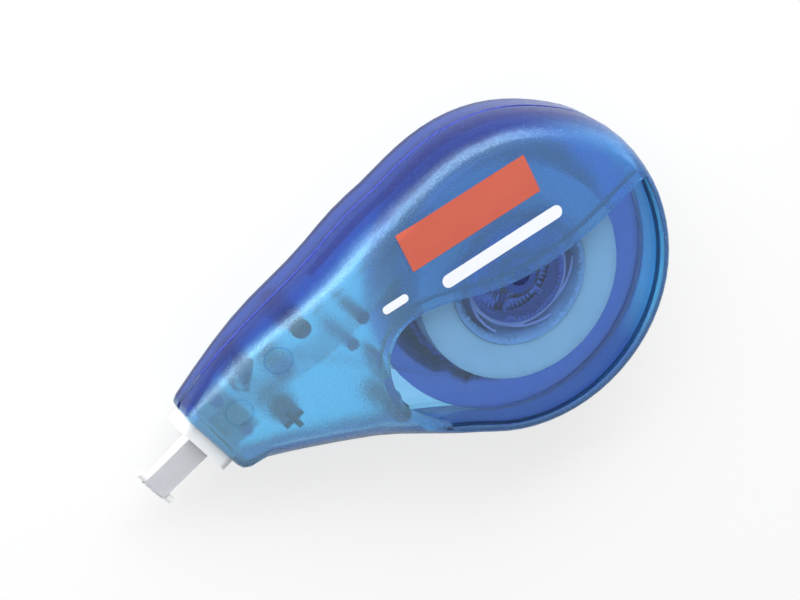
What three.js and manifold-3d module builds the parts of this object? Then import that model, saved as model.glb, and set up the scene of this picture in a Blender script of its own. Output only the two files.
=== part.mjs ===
// Correction tape for sideways use: a drop-shaped case in two halves, a white tip in its nose,
// and two reels that turn one above the other on one axle.
// Millimetres, +Z up. The reels' axle is the Z axis, the case lies on its flat back at z = 0,
// and the nose points along -X.

import * as THREE from 'three';
import { mergeVertices } from 'three/addons/utils/BufferGeometryUtils.js';
import Module from 'manifold-3d';

const wasm = await Module();
wasm.setup();

// Case outline, seen from the front
const caseRadius = 25.5;
const noseReach = 56.4;
const noseCornerY = 3.7;
const noseWidth = 13.6;
const tipBend = 22;
const cornerRounding = 1.2;
const upperLeaveAngle = 121;
const upperLeaveHandle = 11;
const upperArriveAngle = 31;
const upperArriveHandle = 20;
const lowerLeaveAngle = 240;
const lowerLeaveHandle = 9.6;
const lowerArriveAngle = 11;
const lowerArriveHandle = 10.5;

// Case heights and walls
const caseWall = 1.5;
const seamHeight = 6.8;
const seamGap = 0.3;
const seamChamfer = 0.25;
const backEdgeRadius = 2.5;
const noseLift = 2.3;
const noseFrontHeight = 10.5;
const crownHeight = 0.8;
const armStart = -57;
const backFlatStart = -38;
const frontFullStart = -24;
const rimHeight = 0.9;
const rimWidth = 1.1;
const rimRounding = 0.9;
const rimDrop = 1.2;
const sideWallLeast = 1;
const bodyPillow = 4.5;
const nosePillow = 3.4;
const pillowNoseStart = 0.3;
const pillowNoseFull = 3.5;
const pillowLowerFull = -32;
const pillowLowerEnd = -16;
const pillowRightAngle = 5;
const pillowUpperAngle = 45;
const noseKeel = [-44, -2.5];
const windowWall = 1.1;
const stepEndRise = 6.6;
const stepEndHandle = [19.5, 6.3];
const stepFallHandle = [13, 0.9];
const stepMiddle = [0, 0.7];
const stepCrestHandle = [-8, 0.6];
const stepBeforeCrest = [-11, 3.1];
const stepCrest = [-17, 3.1];
const stepCrestShare = 0.6;
const windowLeft = 25.6;
const windowLeftRound = 6;
const windowLeftShare = 0.4;
const windowLowerLeft = [-19, -16.6];
const windowLowerLeave = [-23, -13.6];
const tongueDepth = 1.2;
const tongueRebate = 0.75;
const rebateExtra = 0.3;
const fitGap = 0.15;

// Tape and reels
const tapeWidth = 4.2;
const tapeThickness = 0.15;
const tapeLift = 0.06;
const supplyTapeRadius = 17.2;
const supplyCoreRadius = 11.4;
const supplyCoreWall = 1.0;
const clutchTeeth = 36;
const clutchToothDepth = 0.3;
const takeUpDrumRadius = 18;
const takeUpDrumWall = 1.2;
const takeUpTapeBuild = 0.6;
const discWallGap = 0.2;
const discThickness = 1;
const tapeSideGap = 0.25;
const windingGap = 0.1;
const reelEndGap = 0.4;
const reelStackGap = 0.2;
const clutchRoom = 2.5;
const hubTubeWall = 1;
const bearingTubeWall = 1.2;
const hubRibs = 6;
const hubRibThickness = 0.8;
const hubRibHeight = 2;
const hubRibSink = 0.3;
const bearingSetBack = 1;
const coreLedgeHeight = 0.7;
const clutchFingers = 6;
const clutchRingWall = 0.6;
const clutchFingerThickness = 0.4;
const clutchFingerSpan = 50;
const clutchFingerApart = 2;
const clutchHeight = 2.4;
const twistHandle = 0.35;
const edgeWrap = 0.93;

// Axle, pins, posts and ribs inside the case
const axleRadius = 3;
const axleRunningGap = 0.08;
const axlePinRadius = 1.6;
const assemblyPinRadius = 1.05;
const assemblySocketRadius = 2.1;
const assemblyShoulderRadius = 1.5;
const pinShoulderRise = 1;
const pinDepth = 3;
const pinClearance = 0.5;
const upperPin = [-35.3, 9.0];
const lowerPin = [-25.4, -11.7];
const crossPin = [-41.2, -4.4];
const crossPinSpan = 3.6;
const crossPinWeb = 0.9;
const crossPinTurn = 25;
const crossSocketWall = 0.8;
const crossSocketDrop = 1;
const feedPost = [-26.1, 6.6];
const feedPostRadius = 1;
const keeperPost = [-28.8, 2.9];
const keeperPostRadius = 1;
const returnPostInset = 15.4;
const returnPostRadius = 1.8;
const guideRib = [-25.9, -2.6];
const guideRibTurn = 90;
const guideRibLength = 4.4;
const guideRibThickness = 1.2;
const noseRib = [-45.6, 5.6];
const noseRibTurn = 60;
const noseRibThickness = 2.2;
const noseRibLength = 5;
const noseRibApart = 1;
const feedPostDrop = 1;

// White tip
const collarHalfWidth = 5.7;
const collarHalfHeight = 3.1;
const collarRounding = 1.9;
const collarOut = 2;
const collarIn = 2;
const bladeLength = 10.8;
const bladeWidth = 4.4;
const bladeRootThickness = 3;
const bladeEdgeThickness = 1.24;
const edgeBarWidth = 7.3;
const edgeBarLength = 1.1;
const edgeBarOverlap = 0.4;
const stemLength = 7;
const stemHalfWidth = 4.6;
const stemThickness = 2;
const stemPinRadius = 0.9;
const stemPinInset = 5;
const stemPinOffset = 3.5;
const tapeSlotHeight = 0.8;

// Fineness of the round forms
const arcSteps = 44;
const edgeSteps = 12;
const stepSegments = 16;
const cornerSegments = 4;
const edgeBarSegments = 8;
const fingerSegments = 8;
const betweenFingers = 4;
const edgeWrapSteps = 4;
const twistSteps = 14;
const roundSegments = 64;
const postSegments = 20;

// Heights of the stack along the axle, from the back face up
const takeUpBottom = caseWall + reelEndGap;
const discBottom = takeUpBottom + tapeWidth + 2 * tapeSideGap;
const discTop = discBottom + discThickness;
const coreBottom = discTop + reelStackGap;
const coreTop = coreBottom + tapeWidth;
const windowInside = coreTop + reelEndGap;
const windowOutside = windowInside + windowWall;
const frontEdgeHeight = windowOutside + rimHeight;
const feedHeight = coreBottom + tapeWidth / 2;
const returnHeight = takeUpBottom + tapeSideGap + tapeWidth / 2;
const discRadius = caseRadius - caseWall - discWallGap;
const takeUpTapeRadius = takeUpDrumRadius + windingGap + takeUpTapeBuild;
const bearingInside = axleRadius + axleRunningGap;
const bearingOutside = bearingInside + bearingTubeWall;
const coreInside = supplyCoreRadius - supplyCoreWall;
const hubTubeRadius = coreInside - clutchRoom;

const radians = THREE.MathUtils.degToRad;
const lerp = THREE.MathUtils.lerp;
const smoothstep = THREE.MathUtils.smoothstep;

// Directions in the plan: the tip points out of the nose, and its edge runs across it
const tipTurn = radians(180 + tipBend);
const tipAxis = new THREE.Vector2(Math.cos(tipTurn), Math.sin(tipTurn));
const tipAcross = new THREE.Vector2(-Math.sin(tipTurn), Math.cos(tipTurn));
const noseUpperCorner = new THREE.Vector2(-noseReach, noseCornerY);
const noseLowerCorner = noseUpperCorner.clone().addScaledVector(tipAcross, noseWidth);
const noseMiddle = noseUpperCorner.clone().addScaledVector(tipAcross, noseWidth / 2);
const tipHeight = (noseLift + noseFrontHeight + crownHeight) / 2;

function direction(degrees) {
  return new THREE.Vector2(Math.cos(radians(degrees)), Math.sin(radians(degrees)));
}

function leftOf(vector) {
  return new THREE.Vector2(-vector.y, vector.x);
}

function meet(pointA, alongA, pointB, alongB) {
  const cross = alongA.x * alongB.y - alongA.y * alongB.x;
  const apart = pointB.clone().sub(pointA);
  const reach = (apart.x * alongB.y - apart.y * alongB.x) / cross;
  return pointA.clone().addScaledVector(alongA, reach);
}

function softCurve(from, handleFrom, handleTo, to, steps) {
  const curve = new THREE.CubicBezierCurve(from, handleFrom, handleTo, to);
  return curve.getPoints(steps);
}

function roundedCorner(before, corner, after) {
  const curve = new THREE.QuadraticBezierCurve(before, corner, after);
  return [curve.getPoint(0.5)];
}

// The case outline, drawn in by an inset, always with the same number of points.
// It runs counterclockwise: round end, upper edge, nose end, lower edge.
const outlines = new Map();

function outline(inset) {
  const key = inset.toFixed(4);
  if (!outlines.has(key)) {
    outlines.set(key, drawOutline(inset));
  }
  return outlines.get(key);
}

function drawOutline(inset) {
  const radius = caseRadius - inset;
  const points = [];
  for (let step = 0; step <= arcSteps; step += 1) {
    const angle = lerp(lowerLeaveAngle - 360, upperLeaveAngle, step / arcSteps);
    points.push(direction(angle).multiplyScalar(radius));
  }
  const upperStart = points[points.length - 1];
  const upperAlong = direction(180 + upperArriveAngle);
  const lowerAlong = direction(-lowerArriveAngle);
  const upperLine = noseUpperCorner.clone().addScaledVector(leftOf(upperAlong), inset);
  const noseLine = noseUpperCorner.clone().addScaledVector(leftOf(tipAcross), inset);
  const lowerLine = noseLowerCorner.clone().addScaledVector(leftOf(lowerAlong), inset);
  const upperCorner = meet(upperLine, upperAlong, noseLine, tipAcross);
  const lowerCorner = meet(noseLine, tipAcross, lowerLine, lowerAlong);

  const upperEnd = upperCorner.clone().addScaledVector(upperAlong, -cornerRounding);
  const noseStart = upperCorner.clone().addScaledVector(tipAcross, cornerRounding);
  const noseEnd = lowerCorner.clone().addScaledVector(tipAcross, -cornerRounding);
  const lowerStart = lowerCorner.clone().addScaledVector(lowerAlong, cornerRounding);

  const upperHandle = direction(upperLeaveAngle + 90).multiplyScalar(upperLeaveHandle).add(upperStart);
  const upperArrive = upperEnd.clone().addScaledVector(upperAlong, -upperArriveHandle);
  points.push(...softCurve(upperStart, upperHandle, upperArrive, upperEnd, edgeSteps).slice(1));
  points.push(...roundedCorner(upperEnd, upperCorner, noseStart));
  points.push(noseStart, noseStart.clone().lerp(noseEnd, 0.5), noseEnd);
  points.push(...roundedCorner(noseEnd, lowerCorner, lowerStart));

  const lowerEnd = points[0];
  const lowerHandle = lowerStart.clone().addScaledVector(lowerAlong, lowerArriveHandle);
  const lowerLeave = direction(lowerLeaveAngle - 90).multiplyScalar(lowerLeaveHandle).add(lowerEnd);
  points.push(...softCurve(lowerStart, lowerHandle, lowerLeave, lowerEnd, edgeSteps).slice(0, -1));
  return points;
}

// How far the front rises and how full its edge is, from place to place
function frontHeight(x, y) {
  const edge = lerp(noseFrontHeight, frontEdgeHeight, smoothstep(x, armStart, frontFullStart));
  const across = Math.min(Math.abs(y) / caseRadius, 1);
  return edge + crownHeight * (1 - across * across);
}

function backHeight(x) {
  return noseLift * (1 - smoothstep(x, armStart, backFlatStart));
}

function pillowWeight(point) {
  const inside = -point.clone().sub(noseMiddle).dot(tipAxis);
  const nearNose = smoothstep(inside, pillowNoseStart, pillowNoseFull);
  if (point.y < 0) {
    return nearNose * (1 - smoothstep(point.x, pillowLowerFull, pillowLowerEnd));
  }
  const angle = THREE.MathUtils.radToDeg(Math.atan2(point.y, point.x));
  return nearNose * smoothstep(angle, pillowRightAngle, pillowUpperAngle);
}

function edgeReach(point) {
  const full = lerp(nosePillow, bodyPillow, smoothstep(point.x, armStart, frontFullStart));
  return lerp(rimRounding, full, pillowWeight(point));
}

// Rings of points that stack up into a closed solid
function ring(insetOf, heightOf) {
  return outline(0).map((edge, index) => {
    const place = outline(insetOf(edge))[index];
    return new THREE.Vector3(place.x, place.y, heightOf(place, edge));
  });
}

function drawnIn(points, share, heightOf) {
  const keel = new THREE.Line3(new THREE.Vector3(...noseKeel, 0), new THREE.Vector3(0, 0, 0));
  return points.map((point) => {
    const flat = new THREE.Vector3(point.x, point.y, 0);
    const anchor = keel.closestPointToPoint(flat, true, new THREE.Vector3());
    const place = anchor.lerp(flat, share);
    place.z = heightOf(place);
    return place;
  });
}

// Triangles that close a ring, each one reaching across it from the upper to the lower edge
function zippedCap(points) {
  const count = points.length;
  const places = points.map((point) => point.x);
  const rightmost = places.indexOf(Math.max(...places));
  const leftmost = places.indexOf(Math.min(...places));
  const triangles = [];
  let upper = rightmost;
  let lower = rightmost;
  for (let edge = 0; edge < count; edge += 1) {
    const nextUpper = (upper + 1) % count;
    const nextLower = (lower + count - 1) % count;
    const upperFirst = lower === leftmost
      || (upper !== leftmost && places[nextUpper] >= places[nextLower]);
    if (upperFirst) {
      triangles.push([upper, nextUpper, lower]);
      upper = nextUpper;
    } else {
      triangles.push([upper, nextLower, lower]);
      lower = nextLower;
    }
  }
  return triangles.filter((corners) => new Set(corners).size === 3);
}

function closedFromRings(rings) {
  const count = rings[0].length;
  const positions = rings.flat().flatMap((point) => [point.x, point.y, point.z]);
  const indices = [];
  for (let level = 0; level < rings.length - 1; level += 1) {
    for (let step = 0; step < count; step += 1) {
      const next = (step + 1) % count;
      const low = level * count;
      const high = low + count;
      indices.push(low + step, low + next, high + next, low + step, high + next, high + step);
    }
  }
  const last = (rings.length - 1) * count;
  for (const [a, b, c] of zippedCap(rings[0])) {
    indices.push(a, c, b);
  }
  for (const [a, b, c] of zippedCap(rings[rings.length - 1])) {
    indices.push(last + a, last + b, last + c);
  }
  const geometry = new THREE.BufferGeometry();
  geometry.setAttribute('position', new THREE.Float32BufferAttribute(positions, 3));
  geometry.setIndex(indices);
  return geometry;
}

const capShares = [0.74, 0.46, 0.2];
const edgeAngles = [18, 36, 54, 72, 90].map(radians);

// The front's skin, offset inwards by a wall, from a start height up to its top
function frontForm(offset, start, chamfer) {
  const drop = (edge) => {
    const room = frontHeight(edge.x, edge.y) - seamHeight - sideWallLeast;
    return lerp(rimDrop, Math.max(room, rimDrop), pillowWeight(edge));
  };
  const rings = [];
  rings.push(ring(() => offset + chamfer, () => start));
  if (chamfer > 0) {
    rings.push(ring(() => offset, () => start + chamfer));
  }
  rings.push(ring(() => offset, (place, edge) => frontHeight(place.x, place.y) - drop(edge)));
  for (const angle of edgeAngles) {
    const inset = (edge) => edgeReach(edge) * (1 - Math.cos(angle)) + offset * Math.cos(angle);
    const height = (place, edge) => (
      frontHeight(place.x, place.y) - drop(edge) + (drop(edge) - offset) * Math.sin(angle)
    );
    rings.push(ring(inset, height));
  }
  const top = rings[rings.length - 1];
  for (const share of capShares) {
    rings.push(drawnIn(top, share, (place) => frontHeight(place.x, place.y) - offset));
  }
  return solid(closedFromRings(rings));
}

// The back's skin, offset inwards by a wall, from its floor up to an end height
function backForm(offset, end, chamfer) {
  const rings = [];
  for (const angle of edgeAngles) {
    const inset = () => backEdgeRadius * (1 - Math.cos(angle)) + offset * Math.cos(angle);
    const rise = backEdgeRadius - (backEdgeRadius - offset) * Math.sin(angle);
    rings.unshift(ring(inset, (place) => backHeight(place.x) + rise));
  }
  const floor = rings[0];
  for (const share of capShares) {
    rings.unshift(drawnIn(floor, share, (place) => backHeight(place.x) + offset));
  }
  rings.push(ring(() => offset, (place) => backHeight(place.x) + backEdgeRadius));
  if (chamfer > 0) {
    rings.push(ring(() => offset, () => end - chamfer));
  }
  rings.push(ring(() => offset + chamfer, () => end));
  return solid(closedFromRings(rings));
}

function prism(inset, low, high) {
  return solid(closedFromRings([ring(() => inset, () => low), ring(() => inset, () => high)]));
}

// Closed geometry in and out of the boolean library
function bareIndexed(geometry) {
  const bare = new THREE.BufferGeometry();
  bare.setAttribute('position', geometry.getAttribute('position').clone());
  if (geometry.getIndex()) {
    bare.setIndex(geometry.getIndex().clone());
  }
  return mergeVertices(bare, 1e-4);
}

function signedVolume(positions, indices) {
  const a = new THREE.Vector3();
  const b = new THREE.Vector3();
  const c = new THREE.Vector3();
  let total = 0;
  for (let at = 0; at < indices.length; at += 3) {
    a.fromArray(positions, indices[at] * 3);
    b.fromArray(positions, indices[at + 1] * 3);
    c.fromArray(positions, indices[at + 2] * 3);
    total += a.dot(b.cross(c));
  }
  return total / 6;
}

function solid(geometry) {
  const merged = bareIndexed(geometry);
  const positions = Float32Array.from(merged.getAttribute('position').array);
  const kept = [];
  const all = merged.getIndex().array;
  for (let at = 0; at < all.length; at += 3) {
    const [a, b, c] = [all[at], all[at + 1], all[at + 2]];
    if (a !== b && b !== c && c !== a) {
      kept.push(a, b, c);
    }
  }
  if (signedVolume(positions, kept) < 0) {
    kept.reverse();
  }
  return new wasm.Manifold(new wasm.Mesh({
    numProp: 3,
    vertProperties: positions,
    triVerts: Uint32Array.from(kept),
  }));
}

function geometryOf(manifold) {
  const result = manifold.getMesh();
  const geometry = new THREE.BufferGeometry();
  const positions = new Float32Array(result.vertProperties);
  geometry.setAttribute('position', new THREE.BufferAttribute(positions, 3));
  geometry.setIndex(new THREE.BufferAttribute(new Uint32Array(result.triVerts), 1));
  geometry.computeVertexNormals();
  return geometry;
}

function joined(first, ...others) {
  return others.reduce((sum, other) => sum.add(other), first);
}

function cut(first, ...others) {
  return others.reduce((rest, other) => rest.subtract(other), first);
}

// Simple bodies: posts, blocks, extrusions and turned forms
function post(x, y, radius, low, high, segments = postSegments) {
  const geometry = new THREE.CylinderGeometry(radius, radius, high - low, segments);
  geometry.rotateX(Math.PI / 2);
  geometry.translate(x, y, (low + high) / 2);
  return solid(geometry);
}

function block(x, y, turn, length, width, low, high) {
  const geometry = new THREE.BoxGeometry(length, width, high - low);
  geometry.rotateZ(radians(turn));
  geometry.translate(x, y, (low + high) / 2);
  return solid(geometry);
}

function extruded(shape, low, high) {
  const geometry = new THREE.ExtrudeGeometry(shape, {
    depth: high - low,
    bevelEnabled: false,
    curveSegments: stepSegments,
  });
  geometry.translate(0, 0, low);
  return solid(geometry);
}

function turned(profile) {
  const points = profile.map(([radius, height]) => new THREE.Vector2(radius, height));
  points.push(points[0].clone());
  const geometry = new THREE.LatheGeometry(points, roundSegments);
  geometry.rotateX(Math.PI / 2);
  return solid(geometry);
}

function polarShape(radiusAt, steps) {
  const points = [];
  for (let step = 0; step < steps; step += 1) {
    const angle = (2 * Math.PI * step) / steps;
    const radius = radiusAt(step / steps);
    points.push(new THREE.Vector2(radius * Math.cos(angle), radius * Math.sin(angle)));
  }
  return points;
}

function inTipFrame(manifold) {
  return manifold.rotate([0, 0, 180 + tipBend]).translate([noseMiddle.x, noseMiddle.y, tipHeight]);
}

// The sunk window: everything below the S-shaped step, grown by a margin for its inner side
function windowRegion(margin, low, high) {
  const shape = new THREE.Shape();
  const far = 2 * caseRadius;
  const raised = ([x, y]) => [x, y + margin];
  const grown = ([x, y]) => [x - margin, y - margin];
  const leftSide = -windowLeft - margin;
  const [crestX, crestY] = raised(stepCrest);
  const [lowerX, lowerY] = grown(windowLowerLeft);
  shape.moveTo(far, stepEndRise + margin);
  shape.lineTo(caseRadius, stepEndRise + margin);
  shape.bezierCurveTo(...raised(stepEndHandle), ...raised(stepFallHandle), ...raised(stepMiddle));
  shape.bezierCurveTo(...raised(stepCrestHandle), ...raised(stepBeforeCrest), crestX, crestY);
  const overX = lerp(crestX, leftSide, stepCrestShare);
  shape.bezierCurveTo(overX, crestY, leftSide, 0, leftSide, -windowLeftRound);
  const downY = lerp(-windowLeftRound, lowerY, windowLeftShare);
  shape.bezierCurveTo(leftSide, downY, ...grown(windowLowerLeave), lowerX, lowerY);
  shape.lineTo(lowerX, -far);
  shape.lineTo(far, -far);
  return extruded(shape, low, high);
}

// Mouth in the nose end, and the collar that fills it, as rounded bars along the tip's axis
function mouthBar(from, to, grow) {
  const halfWidth = collarHalfWidth + grow;
  const halfHeight = collarHalfHeight + grow;
  const round = collarRounding + grow;
  const shape = new THREE.Shape();
  shape.moveTo(halfWidth, halfHeight - round);
  shape.absarc(halfWidth - round, halfHeight - round, round, 0, Math.PI / 2);
  shape.absarc(-halfWidth + round, halfHeight - round, round, Math.PI / 2, Math.PI);
  shape.absarc(-halfWidth + round, -halfHeight + round, round, Math.PI, 1.5 * Math.PI);
  shape.absarc(halfWidth - round, -halfHeight + round, round, 1.5 * Math.PI, 2 * Math.PI);
  const geometry = new THREE.ExtrudeGeometry(shape, {
    depth: to - from,
    bevelEnabled: false,
    curveSegments: cornerSegments,
  });
  geometry.rotateX(Math.PI / 2);
  geometry.rotateZ(Math.PI / 2);
  geometry.translate(from, 0, 0);
  return solid(geometry);
}

function noseMouth() {
  return inTipFrame(mouthBar(-collarIn - fitGap, collarOut, fitGap));
}

// A point in the plan, given inwards from the nose end and across it
function fromNose(inwards, across) {
  return noseMiddle.clone().addScaledVector(tipAxis, -inwards).addScaledVector(tipAcross, across);
}

const returnPost = fromNose(returnPostInset, returnPostRadius + tapeLift + tapeThickness / 2);
const stemPins = [-1, 1].map((side) => fromNose(stemPinInset, side * stemPinOffset));

function underFront(x, y) {
  return frontHeight(x, y) - caseWall / 2;
}

const underWindow = windowInside + windowWall / 2;
const pinShoulder = seamHeight + pinShoulderRise;
const pinEnd = seamHeight - pinDepth;

function frontShell() {
  const skin = frontForm(0, seamHeight + seamGap / 2, seamChamfer);
  const tongue = prism(tongueRebate + fitGap, seamHeight - tongueDepth, seamHeight + sideWallLeast);
  const sunk = windowRegion(0, windowOutside, windowOutside + 2 * caseRadius)
    .intersect(prism(rimWidth, windowOutside, windowOutside + caseRadius));
  const hollow = frontForm(caseWall, seamHeight - 2 * tongueDepth, 0);
  const windowPane = windowRegion(windowWall, windowInside, windowInside + 2 * caseRadius);
  const shell = cut(skin.add(tongue), sunk, hollow.subtract(windowPane));

  const ribBottom = seamHeight + noseRibApart;
  const inside = joined(
    post(0, 0, axlePinRadius, discTop, underWindow),
    post(...upperPin, assemblyShoulderRadius, pinShoulder, underFront(...upperPin)),
    post(...upperPin, assemblyPinRadius, pinEnd, pinShoulder + pinShoulderRise),
    post(...lowerPin, assemblyShoulderRadius, pinShoulder, underWindow),
    post(...lowerPin, assemblyPinRadius, pinEnd, pinShoulder + pinShoulderRise),
    crossShapedPin(),
    post(...feedPost, feedPostRadius, seamHeight - feedPostDrop, underFront(...feedPost)),
    block(...guideRib, guideRibTurn, guideRibLength, guideRibThickness, discTop, underWindow),
    block(...noseRib, noseRibTurn, noseRibLength, noseRibThickness, ribBottom, underFront(...noseRib)),
  );
  const room = frontForm(caseWall / 2, 0, 0);
  return cut(joined(shell, inside.intersect(room)), noseMouth());
}

function crossShapedPin() {
  const top = underFront(...crossPin);
  return joined(
    block(...crossPin, crossPinTurn, crossPinSpan, crossPinWeb, pinEnd, top),
    block(...crossPin, crossPinTurn + 90, crossPinSpan, crossPinWeb, pinEnd, top),
  );
}

function backShell() {
  const skin = backForm(0, seamHeight - seamGap / 2, seamChamfer);
  const hollow = backForm(caseWall, seamHeight + tongueDepth, 0);
  const rebate = prism(tongueRebate, seamHeight - tongueDepth - rebateExtra, seamHeight + tongueDepth);
  const tray = cut(skin, hollow, rebate);

  const floorAt = (x) => backHeight(x) + caseWall / 2;
  const [upperX] = upperPin;
  const [lowerX] = lowerPin;
  const [crossX] = crossPin;
  const socketTop = pinShoulder - fitGap;
  const crossSocket = crossPinSpan / 2 + fitGap;
  const crossTop = seamHeight - crossSocketDrop;
  const keeperTop = underFront(...keeperPost) - caseWall;
  const stemPinTop = tipHeight + stemThickness;
  const posts = joined(
    post(0, 0, axleRadius, caseWall / 2, windowInside - reelEndGap),
    post(...upperPin, assemblySocketRadius, floorAt(upperX), socketTop),
    post(...lowerPin, assemblySocketRadius, floorAt(lowerX), socketTop),
    post(...crossPin, crossSocket + crossSocketWall, floorAt(crossX), crossTop),
    post(...keeperPost, keeperPostRadius, floorAt(keeperPost[0]), keeperTop),
    post(returnPost.x, returnPost.y, returnPostRadius, floorAt(returnPost.x), seamHeight),
    ...stemPins.map((pin) => post(pin.x, pin.y, stemPinRadius, floorAt(pin.x), stemPinTop)),
    block(...noseRib, noseRibTurn, noseRibLength, noseRibThickness, floorAt(noseRib[0]), seamHeight),
  );
  const bores = joined(
    post(0, 0, axlePinRadius + fitGap, discBottom, windowInside),
    post(...upperPin, assemblyPinRadius + fitGap, caseWall, seamHeight + pinDepth),
    post(...lowerPin, assemblyPinRadius + fitGap, caseWall, seamHeight + pinDepth),
    post(...crossPin, crossSocket, pinEnd - pinClearance, seamHeight),
  );
  const inside = posts.intersect(prism(tongueRebate + fitGap + caseWall, 0, 2 * caseRadius));
  return cut(joined(tray, inside), bores, noseMouth());
}

// White tip, drawn along its own axis: it starts in the nose and ends in the wide edge bar
function bladeHalfThickness(out) {
  const share = THREE.MathUtils.clamp(out / bladeLength, 0, 1);
  return lerp(bladeRootThickness, bladeEdgeThickness, share) / 2;
}

function acrossTip(points, width) {
  const shape = new THREE.Shape(points.map(([x, y]) => new THREE.Vector2(x, y)));
  const geometry = new THREE.ExtrudeGeometry(shape, { depth: width, bevelEnabled: false });
  geometry.translate(0, 0, -width / 2);
  geometry.rotateX(Math.PI / 2);
  return solid(geometry);
}

const edgeBarRound = bladeEdgeThickness / 2;
const edgeBarStart = bladeLength - edgeBarOverlap;
const edgeBarCentre = edgeBarStart + edgeBarLength - edgeBarRound;

function edgeBarOutline() {
  const points = [[edgeBarStart, -edgeBarRound], [edgeBarCentre, -edgeBarRound]];
  for (let step = 1; step < edgeBarSegments; step += 1) {
    const angle = -Math.PI / 2 + (Math.PI * step) / edgeBarSegments;
    points.push([edgeBarCentre + edgeBarRound * Math.cos(angle), edgeBarRound * Math.sin(angle)]);
  }
  points.push([edgeBarCentre, edgeBarRound], [edgeBarStart, edgeBarRound]);
  return points;
}

function applicatorTip() {
  const collar = mouthBar(-collarIn, collarOut, 0);
  const root = bladeRootThickness / 2;
  const edge = bladeEdgeThickness / 2;
  const blade = acrossTip([
    [-stemLength, -root], [0, -root], [bladeLength, -edge],
    [bladeLength, edge], [0, root], [-stemLength, root],
  ], bladeWidth);
  const edgeBar = acrossTip(edgeBarOutline(), edgeBarWidth);
  const plate = stemThickness / 2;
  const stem = block(-stemLength / 2, 0, 0, stemLength, 2 * stemHalfWidth, -plate, plate);
  const slotWidth = bladeWidth + 2 * fitGap;
  const slotTop = root + tapeSlotHeight;
  const slots = block(0, 0, 0, 2 * (collarIn + collarOut), slotWidth, -slotTop, slotTop);
  const holes = [-1, 1].map((side) => (
    post(-stemPinInset, side * stemPinOffset, stemPinRadius + fitGap, -stemLength, stemLength)
  ));
  return cut(joined(cut(collar, slots), blade, edgeBar, stem), ...holes);
}

// Reels
function supplyReel() {
  const ledgeInside = hubTubeRadius + axleRunningGap;
  const ledgeTop = coreBottom + coreLedgeHeight;
  const ledge = turned([
    [ledgeInside, coreBottom], [supplyCoreRadius, coreBottom],
    [supplyCoreRadius, ledgeTop], [ledgeInside, ledgeTop],
  ]);
  const shape = new THREE.Shape(polarShape(() => supplyCoreRadius, roundSegments));
  const toothed = polarShape((turn) => {
    const phase = (turn * clutchTeeth) % 1;
    return coreInside - (phase < 0.5 ? 0 : clutchToothDepth);
  }, clutchTeeth * 2);
  shape.holes.push(new THREE.Path(toothed));
  return joined(ledge, extruded(shape, coreBottom, coreTop));
}

function supplyTapeRoll() {
  const outside = polarShape((turn) => supplyTapeRadius - tapeThickness * turn, roundSegments);
  const shape = new THREE.Shape(outside);
  const inside = polarShape(() => supplyCoreRadius + windingGap, roundSegments);
  shape.holes.push(new THREE.Path(inside));
  return extruded(shape, coreBottom, coreTop);
}

function takeUpReel() {
  const drumInside = takeUpDrumRadius - takeUpDrumWall;
  const hubInside = hubTubeRadius - hubTubeWall;
  const hubTop = coreTop - reelEndGap;
  const bearingTop = hubTop - bearingSetBack;
  const reel = turned([
    [bearingInside, takeUpBottom], [bearingOutside, takeUpBottom],
    [bearingOutside, discBottom], [drumInside, discBottom],
    [drumInside, takeUpBottom], [takeUpDrumRadius, takeUpBottom],
    [takeUpDrumRadius, discBottom], [discRadius, discBottom],
    [discRadius, discTop], [hubTubeRadius, discTop],
    [hubTubeRadius, hubTop], [hubInside, hubTop],
    [hubInside, discTop], [bearingOutside, discTop],
    [bearingOutside, bearingTop], [bearingInside, bearingTop],
  ]);
  const ribs = [];
  const ribLength = hubInside - bearingOutside + 2 * hubRibSink;
  const ribMiddle = (hubInside + bearingOutside) / 2;
  const ribLow = discTop - hubRibSink;
  for (let index = 0; index < hubRibs; index += 1) {
    const turn = (360 * index) / hubRibs;
    const at = direction(turn).multiplyScalar(ribMiddle);
    ribs.push(block(at.x, at.y, turn, ribLength, hubRibThickness, ribLow, discTop + hubRibHeight));
  }
  return joined(reel, ...ribs);
}

function takeUpTapeRoll() {
  const outside = polarShape((turn) => takeUpTapeRadius - tapeThickness * turn, roundSegments);
  const shape = new THREE.Shape(outside);
  shape.holes.push(new THREE.Path(polarShape(() => takeUpDrumRadius + windingGap, roundSegments)));
  return extruded(shape, returnHeight - tapeWidth / 2, returnHeight + tapeWidth / 2);
}

// Slip clutch: a ring on the hub tube with spring fingers that ride in the core's toothed bore
function slipClutchRing() {
  const ringInside = hubTubeRadius + windingGap;
  const ringOutside = ringInside + clutchRingWall;
  const fingerTip = coreInside - clutchToothDepth - windingGap;
  const rise = fingerTip - ringOutside;
  const free = (clutchFingerThickness + windingGap) / rise;
  const pitch = 360 / clutchFingers;
  const points = [];
  const polar = (radius, degrees) => direction(degrees).multiplyScalar(radius);
  for (let finger = 0; finger < clutchFingers; finger += 1) {
    const start = pitch * finger;
    for (let step = 0; step <= fingerSegments; step += 1) {
      const share = step / fingerSegments;
      points.push(polar(lerp(ringOutside, fingerTip, share), start + clutchFingerSpan * share));
    }
    for (let step = fingerSegments; step >= 0; step -= 1) {
      const share = lerp(free, 1, step / fingerSegments);
      const radius = lerp(ringOutside, fingerTip, share) - clutchFingerThickness;
      points.push(polar(radius, start + clutchFingerSpan * share));
    }
    const from = start + clutchFingerSpan * free;
    const onward = start + pitch - clutchFingerApart;
    for (let step = 1; step <= betweenFingers; step += 1) {
      points.push(polar(ringOutside, lerp(from, onward, step / betweenFingers)));
    }
  }
  const shape = new THREE.Shape(points);
  shape.holes.push(new THREE.Path(polarShape(() => ringInside, roundSegments)));
  const low = coreBottom + coreLedgeHeight + reelStackGap;
  return extruded(shape, low, low + clutchHeight);
}

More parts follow.
